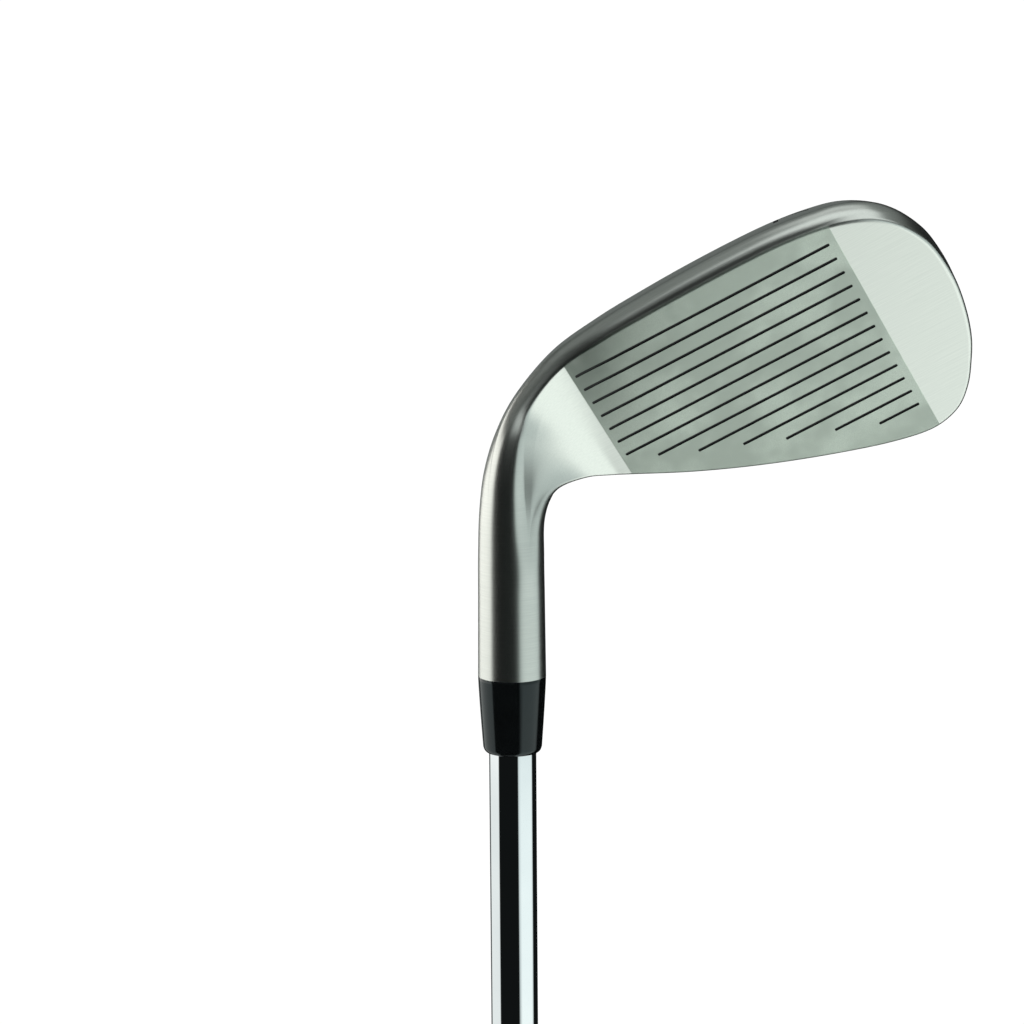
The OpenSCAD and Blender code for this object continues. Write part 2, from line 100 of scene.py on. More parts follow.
def new_object(name, points, faces, materials, smooth_angle=30):
    """Makes an object from points in millimetres."""
    mesh = bpy.data.meshes.new(name)
    scaled = [tuple(float(c) * MM for c in p) for p in points]
    mesh.from_pydata(scaled, [], [tuple(f) for f in faces])
    mesh.validate()
    obj = bpy.data.objects.new(name, mesh)
    scene.collection.objects.link(obj)
    for material in materials:
        mesh.materials.append(material)
    soften(mesh, smooth_angle)
    return obj


def soften(mesh, angle):
    """Shades a mesh smooth, with sharp edges above an angle."""
    mesh.shade_smooth()
    if angle:
        mesh.set_sharp_from_angle(angle=math.radians(angle))


def weighted(obj):
    """Shades flat faces flat beside rounded corners."""
    m = obj.modifiers.new("normals", "WEIGHTED_NORMAL")
    m.mode = "FACE_AREA"
    m.weight = 100
    m.keep_sharp = True


def without_repeats(corners):
    """A face's corners, each named once."""
    return list(dict.fromkeys(corners))


def lathe(name, profile, materials, segments=192, closed=True):
    """Turns a profile of (radius, height) round the shaft's axis. It runs up the outside first."""
    rings = []
    points = []
    for r, z in profile:
        if r < ON_AXIS:
            rings.append([len(points)] * segments)
            points.append((0, 0, z))
            continue
        rings.append(list(range(len(points), len(points) + segments)))
        for s in range(segments):
            t = 2 * math.pi * s / segments
            points.append((r * math.cos(t), r * math.sin(t), z))
    faces = []
    count = len(rings)
    for k in range(count if closed else count - 1):
        low, high = rings[k], rings[(k + 1) % count]
        for s in range(segments):
            n = (s + 1) % segments
            face = without_repeats((low[s], low[n], high[n], high[s]))
            if len(face) > 2:
                faces.append(face)
    return new_object(name, points, faces, materials)


def arc(centre, r, start, end, steps):
    """Points of an arc in the (radius, height) plane, angles in degrees."""
    angles = [math.radians(start + (end - start) * k / steps) for k in range(steps + 1)]
    return [(centre[0] + r * math.cos(t), centre[1] + r * math.sin(t)) for t in angles]


def removed(obj):
    """Takes an object and its mesh out of the file."""
    data = obj.data
    bpy.data.objects.remove(obj)
    bpy.data.meshes.remove(data)


def joined(name, objects):
    """One object made of several of one material, which are removed."""
    points, faces, stuff = [], [], objects[0].data.materials[0]
    for o in objects:
        first = len(points)
        points += [v.co / MM for v in o.data.vertices]
        faces += [[first + v for v in f.vertices] for f in o.data.polygons]
        removed(o)
    return new_object(name, points, faces, [stuff])


def cut(obj, cutter):
    """Subtracts a cutter, then removes it. The cut faces keep the cutter's slot numbers."""
    m = obj.modifiers.new("cut", "BOOLEAN")
    m.operation = "DIFFERENCE"
    m.solver = "MANIFOLD"
    m.object = cutter
    dg = bpy.context.evaluated_depsgraph_get()
    mesh = bpy.data.meshes.new_from_object(obj.evaluated_get(dg), depsgraph=dg)
    obj.modifiers.clear()
    old = obj.data
    obj.data = mesh
    mesh.name = old.name
    bpy.data.meshes.remove(old)
    removed(cutter)


def piece(obj, node):
    """Puts a finished piece in the place of a CAD node."""
    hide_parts(node)
    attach(obj, "root")


# ---- Materials ----


class Nodes:
    """Short way to write a material's node tree."""

    def __init__(self, tree):
        self.tree = tree

    def add(self, kind, **inputs):
        node = self.tree.nodes.new(kind)
        for key, value in inputs.items():
            self.give(node.inputs[key], value)
        return node

    def give(self, socket, value):
        if isinstance(value, bpy.types.NodeSocket):
            self.tree.links.new(value, socket)
        else:
            socket.default_value = value

    def math(self, operation, a, b=None, c=None):
        node = self.tree.nodes.new("ShaderNodeMath")
        node.operation = operation
        for socket, value in zip(node.inputs, (a, b, c)):
            if value is not None:
                self.give(socket, value)
        return node.outputs[0]

    def vector(self, operation, a, b=None, scale=None):
        node = self.tree.nodes.new("ShaderNodeVectorMath")
        node.operation = operation
        self.give(node.inputs[0], a)
        if b is not None:
            self.give(node.inputs[1], b)
        if scale is not None:
            self.give(node.inputs["Scale"], scale)
        return node.outputs["Value"] if operation in ("DOT_PRODUCT", "LENGTH") else node.outputs[0]

    def step(self, value, low, high):
        """Smooth step from 0 at low to 1 at high."""
        node = self.tree.nodes.new("ShaderNodeMapRange")
        node.interpolation_type = "SMOOTHSTEP"
        self.give(node.inputs["Value"], value)
        node.inputs["From Min"].default_value = low
        node.inputs["From Max"].default_value = high
        return node.outputs["Result"]

    def spread(self, value, low, high):
        """A 0 to 1 value spread between low and high."""
        node = self.tree.nodes.new("ShaderNodeMapRange")
        self.give(node.inputs["Value"], value)
        node.inputs["To Min"].default_value = low
        node.inputs["To Max"].default_value = high
        return node.outputs["Result"]

    def noise(self, vector, scale, detail=3.0, rough=0.55):
        node = self.tree.nodes.new("ShaderNodeTexNoise")
        self.give(node.inputs["Vector"], vector)
        node.inputs["Scale"].default_value = scale
        node.inputs["Detail"].default_value = detail
        node.inputs["Roughness"].default_value = rough
        return node.outputs[0]

    def mix(self, factor, a, b):
        """One colour into another."""
        node = self.tree.nodes.new("ShaderNodeMix")
        node.data_type = "RGBA"
        self.give(node.inputs["Factor"], factor)
        self.give(node.inputs[6], a)
        self.give(node.inputs[7], b)
        return node.outputs[2]

    def mix_value(self, factor, a, b):
        """One number into another."""
        node = self.add("ShaderNodeMix", Factor=factor)
        self.give(node.inputs[2], a)
        self.give(node.inputs[3], b)
        return node.outputs[0]

    def finish(self, shader, base, roughness, normal=None):
        """Links a material's colour, roughness and bump to its shader."""
        self.give(shader.inputs["Base Color"], base)
        self.give(shader.inputs["Roughness"], roughness)
        if normal is not None:
            self.give(shader.inputs["Normal"], normal)

    def combine(self, x, y, z):
        node = self.tree.nodes.new("ShaderNodeCombineXYZ")
        for socket, value in zip(node.inputs, (x, y, z)):
            self.give(socket, value)
        return node.outputs[0]

    def bump(self, height, distance, strength=1.0, normal=None):
        node = self.tree.nodes.new("ShaderNodeBump")
        self.give(node.inputs["Height"], height)
        node.inputs["Distance"].default_value = distance
        node.inputs["Strength"].default_value = strength
        if normal is not None:
            self.give(node.inputs["Normal"], normal)
        return node.outputs[0]


def colour(r, g, b):
    return (r, g, b, 1.0)


def material(name, **shader):
    """New material. Returns it with its node writer, principled shader and object coordinates."""
    made = bpy.data.materials.new(name)
    made.use_nodes = True
    tree = made.node_tree
    tree.nodes.clear()
    n = Nodes(tree)
    out = tree.nodes.new("ShaderNodeOutputMaterial")
    p = tree.nodes.new("ShaderNodeBsdfPrincipled")
    tree.links.new(p.outputs[0], out.inputs[0])
    for key, value in shader.items():
        p.inputs[key.replace("_", " ")].default_value = value
    place = tree.nodes.new("ShaderNodeTexCoord").outputs["Object"]
    return made, n, p, place


def around(n, place):
    """Coordinates round the shaft's axis: angle in turns, and height in metres."""
    x, y, z = n.add("ShaderNodeSeparateXYZ", Vector=place).outputs
    return n.math("DIVIDE", n.math("ARCTAN2", y, x), 2 * math.pi), z


# The face's blasted field, in millimetres from heel to toe. Its heel border leans: it starts at
# the first number at the sole and at the second one 50 mm above it.
ZONE_START = (38.65, 38.2)
ZONE_END = 96.35
ZONE_TOP_B = 50.0
ZONE_SOFT = 0.08


def head_steel():
    """Belt-finished satin steel, with a blasted field between the heel and the toe of the face, and
    painted shade in the field towards the heel's corner of the sole.
    """
    made, n, p, place = material("head_satin_steel", Metallic=1.0)
    local = n.vector("SUBTRACT", place, tuple(SEAM * MM))
    on_face = n.vector("SUBTRACT", local, tuple(FACE_ZERO * MM))
    a, b, depth = (n.vector("DOT_PRODUCT", on_face, tuple(way / MM))
                   for way in (HEEL_TO_TOE, FACE_UP, FACE_BACK))
    # The field's borders
    start = n.math("MULTIPLY_ADD", b, (ZONE_START[1] - ZONE_START[0]) / ZONE_TOP_B, ZONE_START[0])
    after = n.step(n.math("SUBTRACT", a, start), -ZONE_SOFT, ZONE_SOFT)
    before = n.step(a, ZONE_END + ZONE_SOFT, ZONE_END - ZONE_SOFT)
    front = n.step(depth, 0.35, 0.15)
    zone = n.math("MULTIPLY", n.math("MULTIPLY", after, before), front)
    # Blasted grain and clouds
    grain = n.noise(place, 5200, 2.0, 0.6)
    clouds = n.noise(place, 60, 3.0, 0.6)
    # Belt finish of the free surfaces, round the hosel and along the blade
    streaks_hosel = n.noise(n.vector("MULTIPLY", local, (150.0, 150.0, 6500.0)), 1.0, 4.0, 0.6)
    along = n.combine(n.math("MULTIPLY", a, 0.09), n.math("MULTIPLY", b, 4.5),
                      n.math("MULTIPLY", depth, 4.5))
    streaks_blade = n.noise(along, 1.0, 4.0, 0.65)
    streak = n.mix_value(n.step(a, 14.0, 30.0), streaks_hosel, streaks_blade)
    # Colour
    steel = n.mix(n.step(streak, 0.3, 0.7), colour(0.635, 0.66, 0.63), colour(0.70, 0.725, 0.69))
    blasted = n.mix(grain, colour(0.46, 0.52, 0.465), colour(0.80, 0.88, 0.80))
    blasted = n.mix(n.step(clouds, 0.64, 0.38), blasted, colour(0.50, 0.56, 0.505))
    # Painted shade: the field darkens towards the heel's corner of the sole, where the hosel shades
    # it and reflects dark
    corner = n.step(n.math("MULTIPLY_ADD", b, 0.9, a), 72.0, 32.0)
    blasted = n.mix(n.math("MULTIPLY", corner, 0.8), blasted, colour(0.15, 0.17, 0.152))
    rough = n.mix_value(zone, n.spread(streak, 0.26, 0.33), n.spread(grain, 0.38, 0.5))
    fine = n.bump(streak, 0.0000025, 0.3)
    n.finish(p, n.mix(zone, steel, blasted), rough,
             n.bump(n.math("MULTIPLY", grain, zone), 0.00003, 0.8, fine))
    return made


def cut_steel():
    """Darker cast steel inside the cavity."""
    made, n, p, place = material("cavity_cast_steel", Metallic=1.0)
    grain = n.noise(place, 2600, 3.0, 0.6)
    n.finish(p, n.mix(grain, colour(0.28, 0.29, 0.29), colour(0.42, 0.43, 0.42)),
             n.spread(grain, 0.4, 0.58), n.bump(grain, 0.00004, 0.7))
    return made


def plain_grain(name, dark, light, scale, rough, height=0.00003):
    """Plain stuff whose tone, roughness and skin vary with one fine grain."""
    made, n, p, place = material(name)
    grain = n.noise(place, scale, 3.0, 0.6)
    n.finish(p, n.mix(grain, dark, light), n.spread(grain, *rough), n.bump(grain, height, 0.6))
    return made


def paint(name, base, rough=(0.35, 0.6), scale=2400):
    """Matt fill paint with a fine uneven skin."""
    dark = tuple(0.6 * c for c in base[:3]) + (1.0,)
    return plain_grain(name, dark, base, scale, rough, 0.00002)


def gloss_black():
    """Polished plastic with faint turning rings."""
    made, n, p, place = material("ferrule_black_plastic", IOR=1.44, Coat_Weight=0.1,
                                 Coat_Roughness=0.04, Specular_Tint=colour(0.78, 0.95, 1.0))
    angle, height = around(n, place)
    rings = n.noise(n.combine(n.math("MULTIPLY", angle, 3.0), 0.0,
                              n.math("MULTIPLY", height, 3000.0)), 1.0)
    cloud = n.noise(place, 260, 2.0, 0.5)
    n.finish(p, n.mix(cloud, colour(0.002, 0.0024, 0.0026), colour(0.005, 0.006, 0.0065)),
             n.spread(rings, 0.06, 0.14), n.bump(rings, 0.000004, 0.5))
    return made


def chrome():
    """Chrome with fine polishing lines along the shaft and a slight haze."""
    made, n, p, place = material("shaft_chrome", Metallic=1.0)
    angle, height = around(n, place)
    lines = n.noise(n.combine(n.math("MULTIPLY", angle, 260.0), 0.0,
                              n.math("MULTIPLY", height, 14.0)), 1.0)
    haze = n.noise(place, 90, 3.0, 0.6)
    n.finish(p, n.mix(haze, colour(0.80, 0.83, 0.86), colour(0.90, 0.92, 0.94)),
             n.spread(haze, 0.015, 0.06), n.bump(lines, 0.0000015, 0.4))
    return made


def rubber(name, base, scale=1800, rough=(0.55, 0.75), height=0.00005):
    """Moulded rubber that is paler where hands wear it."""
    made, n, p, place = material(name, IOR=1.45, Sheen_Weight=0.15, Sheen_Roughness=0.5)
    grain = n.noise(place, scale, 4.0, 0.65)
    wear = n.noise(place, 70, 3.0, 0.6)
    light = tuple(1.9 * c for c in base[:3]) + (1.0,)
    n.finish(p, n.mix(n.math("MULTIPLY", grain, wear), base, light), n.spread(grain, *rough),
             n.bump(grain, height, 0.7))
    return made


def turned_metal(name, dark, light, centre=(0, 0, 0)):
    """Metal with fine turning marks at equal distances from a centre."""
    made, n, p, place = material(name, Metallic=1.0)
    distance = n.vector("LENGTH", n.vector("SUBTRACT", place, tuple(centre)))
    rings = n.noise(n.combine(n.math("MULTIPLY", distance, 3500.0), 0.0, 0.0), 1.0, 3.0)
    n.finish(p, n.mix(rings, dark, light), n.spread(rings, 0.2, 0.38), n.bump(rings, 0.00001, 0.5))
    return made


def brushed_badge():
    """Aluminium that is brushed from heel to toe."""
    made, n, p, place = material("badge_brushed_aluminium", Metallic=1.0)
    along = n.vector("DOT_PRODUCT", place, tuple(HEEL_TO_TOE))
    across = n.vector("DOT_PRODUCT", place, tuple(FACE_UP))
    streaks = n.noise(n.combine(n.math("MULTIPLY", along, 60.0),
                                n.math("MULTIPLY", across, 5200.0), 0.0), 1.0, 4.0)
    n.finish(p, n.mix(streaks, colour(0.66, 0.68, 0.70), colour(0.86, 0.88, 0.90)),
             n.spread(streaks, 0.25, 0.45), n.bump(streaks, 0.00001, 0.5))
    return made


STEEL = head_steel()
CAVITY_STEEL = cut_steel()
LINE_PAINT = paint("score_line_black_paint", colour(0.012, 0.014, 0.014))
NUMBER_PAINT = paint("number_black_paint", colour(0.012, 0.012, 0.013))
FERRULE_BLACK = gloss_black()
CHROME = chrome()
HEAD_SLOTS = [STEEL, LINE_PAINT, CAVITY_STEEL, NUMBER_PAINT]


def painted(cutter, made):
    """Gives a cutter the head's slots, with all its faces in the slot of one material."""
    cutter.data.materials.clear()
    for slot in HEAD_SLOTS:
        cutter.data.materials.append(slot)
    slots = [HEAD_SLOTS.index(made)] * len(cutter.data.polygons)
    cutter.data.polygons.foreach_set("material_index", slots)
    return cutter


# ---- Head: the skin's guides, in millimetres from the hosel's mouth ----
CORNERS = 6
RIM = 6.0
HOSEL_R, NECK_R, NECK_R_FROM = 6.74, 6.5, 26
HOSEL_RUNGS = [0, 8, 16, 24]
# Each rung of the neck: distance from the hosel's mouth and share of the blade's shape, at the
# top's side, at the sole's side and in the middle
NECK_RUNGS = [
    (30.5, 0.10, 33, 0.08, 31.7, 0.10),
    (35.0, 0.42, 41, 0.30, 38.0, 0.37),
    (38.5, 0.80, 48, 0.62, 43.0, 0.72),
    (41.0, 0.97, 54, 0.90, 47.5, 0.94),
    (44.0, 1.00, 60, 1.00, 52.0, 1.00),
]
BACK_SHARES = [0.06, 0.28, 0.56, 0.8, 0.95]
FIRST_BACK_CORNER = 2
# The face's edge as (a, b), and the line along its middle
TOP_EDGE = [(26, 20.6), (29, 22.8), (32, 24.9), (35, 26.6), (38, 28.4), (48, 34.7),
            (58, 40.2), (68, 45), (78, 49.2), (86, 52.1), (93, 53.8)]
TOE_EDGE = [(97.6, 53.6), (101.8, 51.7), (105.2, 47.9), (107.8, 43.2), (110.2, 37.6),
            (111.9, 30.6), (112.8, 22.6), (112.4, 14.6), (111, 8.9), (108, 3.4), (103.9, -0.5),
            (98.7, -3)]
SOLE_EDGE = [(17.1, 21.6), (21.1, 13.4), (25.1, 6.6), (29.6, 1), (38, -3.6), (48, -4.9),
             (58, -5.35), (68, -5.55), (78, -5.55), (86, -5.25), (93, -4.4)]
MIDDLE_LINE = [(22, 20.5), (27, 17.5), (31, 15), (34.5, 13.5), (38, 12.5), (48, 14.5),
               (58, 17), (68, 19.5), (78, 21.8), (86, 23.4), (93, 24.5)]
# The sole along its edge: forward lift at the neck, bulge and width, and its share round the toe
NECK_LIFT = [17, 12.1, 7.3, 2.9, 0, 0, 0, 0, 0, 0, 0]
SOLE_BULGE = [1.5, 1.3, 1.08, 0.88, 0.82, 0.9, 0.96, 1, 1, 0.98, 0.94]
SOLE_WIDTH = [0.66, 0.66, 0.7, 0.8, 0.9, 0.97, 1, 1, 1, 1, 1]
TOE_SHARE = [0, 0, 0, 0, 0, 0, 0.02, 0.07, 0.2, 0.42, 0.68, 0.88]
# Where the hosel's arcs end, in degrees from the front, and how soft each corner is
TOP_SPANS = [40, 78, 100, 120, 140, 160, 180]
SOLE_SPANS = [40, -6, -40, -75, -110, -145, -180]
ARC_SHARE = 0.97
TOP_SOFT = [1, 1.4, 0.6, 0.6, 0.6, 0.6]
SOLE_SOFT = [0.35, 2.6, 3.5, 2.2, 1.6, 2.6]
# Where the six corners of a rung sit from the face's edge
TOP_INSET = [0, 0, 3, 5, 7, 9]
SOLE_DROP = [0, 3.7, 4.3, 3, -8.5]
SOLE_REACH = [0, 0.5, 9, 18.6, 18.2]
FLANGE_HEIGHT = 14.5
MIDDLE_SHARE = 0.9
NECK_START = len(HOSEL_RUNGS)
TOE_RUNG = NECK_START + len(TOP_EDGE) - 1
EDGE_POINTS = np.array(TOP_EDGE + TOE_EDGE + SOLE_EDGE[::-1], float)


def unit(v):
    return v / np.linalg.norm(v)


def edge_normal(i):
    """Outward direction of the face's edge at one of its points, as (a, b)."""
    along = unit(EDGE_POINTS[min(i + 1, len(EDGE_POINTS) - 1)] - EDGE_POINTS[max(i - 1, 0)])
    return np.array([-along[1], along[0]])


def in_face(n):
    """Such a direction in the face's plane."""
    return n[0] * HEEL_TO_TOE + n[1] * FACE_UP


def from_front(n):
    """Such a direction as the front view shows it."""
    return unit(n[0] * HEEL_TO_TOE + n[1] * SOLE_TO_TOP)


def hosel_radius(z):
    share = min(z, NECK_R_FROM) / NECK_R_FROM
    return (1 - share) * HOSEL_R + share * NECK_R


def round_point(r, degrees, z):
    """Point on the hosel, at an angle from the front towards the toe."""
    t = math.radians(degrees)
    return np.array([r * math.sin(t), -r * math.cos(t), z])


def hosel_corners(z, spans):
    """Six corners round half of the hosel, and how soft each is to make the hosel round."""
    made, soft = [], []
    for start, end in zip(spans, spans[1:]):
        half = math.radians(abs(end - start) / 2)
        made.append(round_point(hosel_radius(z) / math.cos(half), (start + end) / 2, z))
        soft.append(ARC_SHARE * hosel_radius(z) * math.tan(half))
    return np.array(made), np.array(soft)


def bar_corners(edge, n):
    """Six corners of the topline's bar."""
    return np.array([face_point(*edge, depth=RIM if j else 0) - TOP_INSET[j] * in_face(n)
                     for j in range(CORNERS)])


def sole_corners(edge, n, lift, bulge, width):
    """Six corners from the leading edge round the sole to the flange."""
    made = []
    for j in range(CORNERS - 1):
        wide = 1 if j == 1 else width
        round_out = 1 if j in (0, 4) else bulge
        made.append(face_point(*edge) + (wide * SOLE_REACH[j] - lift) * BACKWARD
                    + round_out * SOLE_DROP[j] * from_front(n))
    made.append(face_point(*edge, depth=RIM) - FLANGE_HEIGHT * in_face(n))
    return np.array(made)


def blend(a, b, share):
    return (1 - share) * a + share * b


def rung(i, column):
    """Distance from the hosel's mouth and share of the blade's shape at rung i."""
    k = i - NECK_START
    if k < 0:
        return HOSEL_RUNGS[i], 0
    return NECK_RUNGS[k][column:column + 2] if k < len(NECK_RUNGS) else (0, 1)


def middle(i, behind):
    """Point of rung i in the middle of the face or of the back."""
    z, share = rung(i, 4)
    if behind and NECK_START <= i < NECK_START + len(NECK_RUNGS):
        share = BACK_SHARES[i - NECK_START]
    on_blade = face_point(*MIDDLE_LINE[max(i - NECK_START, 0)], depth=RIM if behind else 0)
    return blend(round_point(hosel_radius(z), 180 if behind else TOP_SPANS[0], z), on_blade, share)


def guide_row(i, side):
    """Rung i on one side: middle of the face, six corners, middle of the back, and softnesses."""
    k = i - NECK_START
    z, share = rung(i, 0 if side == "top" else 2)
    corners, soft = hosel_corners(z, TOP_SPANS if side == "top" else SOLE_SPANS)
    if k >= 0:
        if side == "top":
            blade, blade_soft = bar_corners(TOP_EDGE[k], edge_normal(k)), TOP_SOFT
        else:
            n = edge_normal(len(EDGE_POINTS) - 1 - k)
            blade = sole_corners(SOLE_EDGE[k], n, NECK_LIFT[k], SOLE_BULGE[k], SOLE_WIDTH[k])
            blade_soft = SOLE_SOFT
        shares = np.full(CORNERS, float(share))
        if k < len(NECK_RUNGS):
            shares[FIRST_BACK_CORNER if side == "top" else CORNERS - 1:] = BACK_SHARES[k]
        corners = corners + shares[:, None] * (blade - corners)
        soft = soft + shares * (np.array(blade_soft) - soft)
    return np.vstack([middle(i, False), corners, middle(i, True)]), soft


def toe_row(i):
    """Guides of a spoke round the toe, where the bar turns into the sole."""
    n = edge_normal(len(TOP_EDGE) + i)
    as_sole = sole_corners(TOE_EDGE[i], n, 0, 1, 1)
    corners = blend(bar_corners(TOE_EDGE[i], n), as_sole, TOE_SHARE[i])
    soft = blend(np.array(TOP_SOFT, float), np.array(SOLE_SOFT, float), TOE_SHARE[i])
    return np.vstack([middle(TOE_RUNG, False), corners, middle(TOE_RUNG, True)]), soft


def all_rows():
    """The guides along the top, round the toe and back along the sole."""
    rows = [guide_row(i, "top") for i in range(TOE_RUNG + 1)]
    rows += [toe_row(i) for i in range(len(TOE_EDGE))]
    rows += [guide_row(i, "sole") for i in range(TOE_RUNG, -1, -1)]
    return np.array([r[0] for r in rows]), np.array([r[1] for r in rows])


def through(rows, place):
    """Smooth curve through the rows of a table, at a place that counts in rows."""
    last = len(rows) - 1
    i = int(max(0, min(math.floor(place), last - 1)))
    t = place - i
    p1, p2 = rows[i], rows[i + 1]
    p0 = rows[i - 1] if i > 0 else 2 * p1 - p2
    p3 = rows[i + 2] if i + 2 <= last else 2 * p2 - p1
    return 0.5 * (2 * p1 + t * (p2 - p0) + t * t * (2 * p0 - 5 * p1 + 4 * p2 - p3)
                  + t * t * t * (3 * p1 - p0 - 3 * p2 + p3))


def soft_corner(before, corner, after, soft, parts):
    """Points of a curve that rounds a corner, from a distance before it to as far after it."""
    u, v = unit(corner - before), unit(after - corner)
    turn = math.acos(max(-1.0, min(1.0, float(u @ v))))
    handle = soft * 2 / 3 * (1 - math.tan(turn / 4) ** 2)
    p0, p3 = corner - soft * u, corner + soft * v
    p1, p2 = p0 + handle * u, p3 - handle * v
    return [(1 - t) ** 3 * p0 + 3 * (1 - t) ** 2 * t * p1 + 3 * (1 - t) * t * t * p2 + t ** 3 * p3
            for t in parts]


CORNER_PARTS = [k / 8 for k in range(9)]
MIDDLE_PARTS = [0.5, 0.6, 0.7, 0.8, 0.9, 1.0]
FLAT_PARTS = [0.08, 0.5, 0.92]
RUNG_STEP = 0.1


def strip(row, other):
    """Points of the skin along one rung, from the middle of the face over the edge to the back."""
    (p, soft), (q, other_soft) = row, other
    c = CORNERS
    front = MIDDLE_SHARE * min(np.linalg.norm(p[1] - p[0]) - soft[0],
                               np.linalg.norm(q[1] - q[0]) - other_soft[0])
    back = MIDDLE_SHARE * min(np.linalg.norm(p[c] - p[c + 1]) - soft[c - 1],
                              np.linalg.norm(q[c] - q[c + 1]) - other_soft[c - 1])
    runs = [soft_corner(q[1], p[0], p[1], front, MIDDLE_PARTS)]
    runs += [soft_corner(p[j - 1], p[j], p[j + 1], soft[j - 1], CORNER_PARTS)
             for j in range(1, c + 1)]
    runs += [soft_corner(p[c], p[c + 1], q[c], back, [1 - t for t in MIDDLE_PARTS[::-1]])]
    points = list(runs[0])
    for run in runs[1:]:
        points += [blend(points[-1], run[0], t) for t in FLAT_PARTS]
        points += run
    return points


def head_skin():
    """Points and faces of the closed skin, from the hosel's mouth."""
    rows, softs = all_rows()
    last = len(rows) - 1
    steps = int(round(last / RUNG_STEP))
    places = [last * k / steps for k in range(steps + 1)]
    smooth = [(through(rows, u), through(softs, u)) for u in places]
    count = len(places)
    ladder = int(round(TOE_RUNG / RUNG_STEP)) + 1
    strips = []
    for i, (p, soft) in enumerate(smooth):
        if i < ladder or i >= count - ladder:
            other = smooth[count - 1 - i]
        else:
            mirror = p.copy()
            mirror[1] = 2 * p[0] - p[1]
            mirror[CORNERS] = 2 * p[CORNERS + 1] - p[CORNERS]
            other = (mirror, soft)
        strips.append(strip((p, soft), other))
    width = len(strips[0])
    points = [q for s in strips for q in s] + [np.zeros(3)]

    def index(i, j):
        if j in (0, width - 1):
            if i >= count - ladder:
                i = count - 1 - i
            elif i >= ladder:
                i = ladder - 1
        return i * width + j

    faces = []
    for i in range(count - 1):
        for j in range(width - 1):
            face = without_repeats((index(i, j), index(i + 1, j), index(i + 1, j + 1),
                                    index(i, j + 1)))
            if len(face) > 2:
                faces.append(face)
    ring = [index(0, j) for j in range(width)]
    ring += [index(count - 1, j) for j in range(width - 2, 0, -1)]
    centre = count * width
    for k in range(len(ring)):
        faces.append([centre, ring[k], ring[(k + 1) % len(ring)]])
    used = sorted({v for f in faces for v in f})
    renumber = {v: k for k, v in enumerate(used)}
    return [points[v] for v in used], [[renumber[v] for v in f] for f in faces]


skin_points, skin_faces = head_skin()
head = new_object("iron_head", [q + SEAM for q in skin_points], skin_faces, HEAD_SLOTS, 0)

# ---- Cuts in the head ----
GROOVE_START, GROOVE_END = 39.4, 94.8
SHORT_STARTS = [44.8, 52.1, 60.4, 68.3, 77.6, 85.9]
GROOVES, GROOVE_PITCH = 13, 3.82
# Half of a groove's width at depths from outside the face to the groove's floor
GROOVE_SIDE = [(-0.6, 0.36), (0.0, 0.35), (0.30, 0.32), (0.42, 0.24)]
HALF_GROOVE, GROOVE_CORNER = 0.35, 0.3
FACE_THICKNESS = 2.8


def on_face(points, depth=0.0):
    """Points given as (a, b) on the face, in the row frame, in millimetres."""
    return [face_point(x, y, depth) + SEAM for x, y in points]


def rounded_bar(low, high, radius, steps=5):
    """Outline of a bar between two opposite corners, with its corners rounded."""
    corners = [low, (high[0], low[1]), high, (low[0], high[1])]
    made = []
    for k in range(4):
        p0, p1, p2 = (np.array(corners[(k + d) % 4], float) for d in (-1, 0, 1))
        most = 0.45 * min(np.linalg.norm(p0 - p1), np.linalg.norm(p2 - p1))
        r = min(radius, most)
        a, b = p1 + r * unit(p0 - p1), p1 + r * unit(p2 - p1)
        for s in range(steps + 1):
            t = s / steps
            made.append((1 - t) ** 2 * a + 2 * t * (1 - t) * p1 + t * t * b)
    return made


def loft(name, rings, materials):
    """Closed solid through rings of equal length, from the first ring to the last."""
    n = len(rings[0])
    points = [p for ring in rings for p in ring]
    faces = [list(range(n))[::-1], [(len(rings) - 1) * n + k for k in range(n)]]
    for r in range(len(rings) - 1):
        for k in range(n):
            m = (k + 1) % n
            faces.append([r * n + k, r * n + m, (r + 1) * n + m, (r + 1) * n + k])
    obj = new_object(name, points, faces, materials)
    made = bmesh.new()
    made.from_mesh(obj.data)
    bmesh.ops.recalc_face_normals(made, faces=made.faces)
    made.to_mesh(obj.data)
    made.free()
    return obj


def groove_cutters():
    """One cutter for each score line. The lines nearest the topline start further from the heel."""
    starts = [GROOVE_START] * (GROOVES - len(SHORT_STARTS)) + SHORT_STARTS
    made = []
    for i, start in enumerate(starts):
        b = i * GROOVE_PITCH
        rings = [on_face(rounded_bar((start + HALF_GROOVE - half, b - half),
                                     (GROOVE_END - HALF_GROOVE + half, b + half), GROOVE_CORNER),
                         depth) for depth, half in GROOVE_SIDE]
        made.append(loft(f"groove_cut_{i}", rings, [LINE_PAINT]))
    return made


# The cavity's outline is the face's edge moved inward, closed along the sole's flange
BAR = 5.2
CAVITY_FOOT, CAVITY_HEEL, CAVITY_CORNER = 12.4, 44, 3.5
EDGE_PARTS, ABOVE_FOOT = 4, 4
# How far the pocket's wall stands in at depths behind the face, from its floor to outside it
POCKET_SIDE = [(0.7, FACE_THICKNESS), (0.25, FACE_THICKNESS + 0.2), (0.05, FACE_THICKNESS + 0.6),
               (0.0, RIM - 0.5), (-0.12, RIM - 0.15), (-0.35, RIM + 0.02), (-1.0, RIM + 0.65)]
SLOT_HEEL, SLOT_TOE, SLOT_FOOT, SLOT_DEPTH, SLOT_CORNER = 50, 98, 1.5, 2.2, 1.0


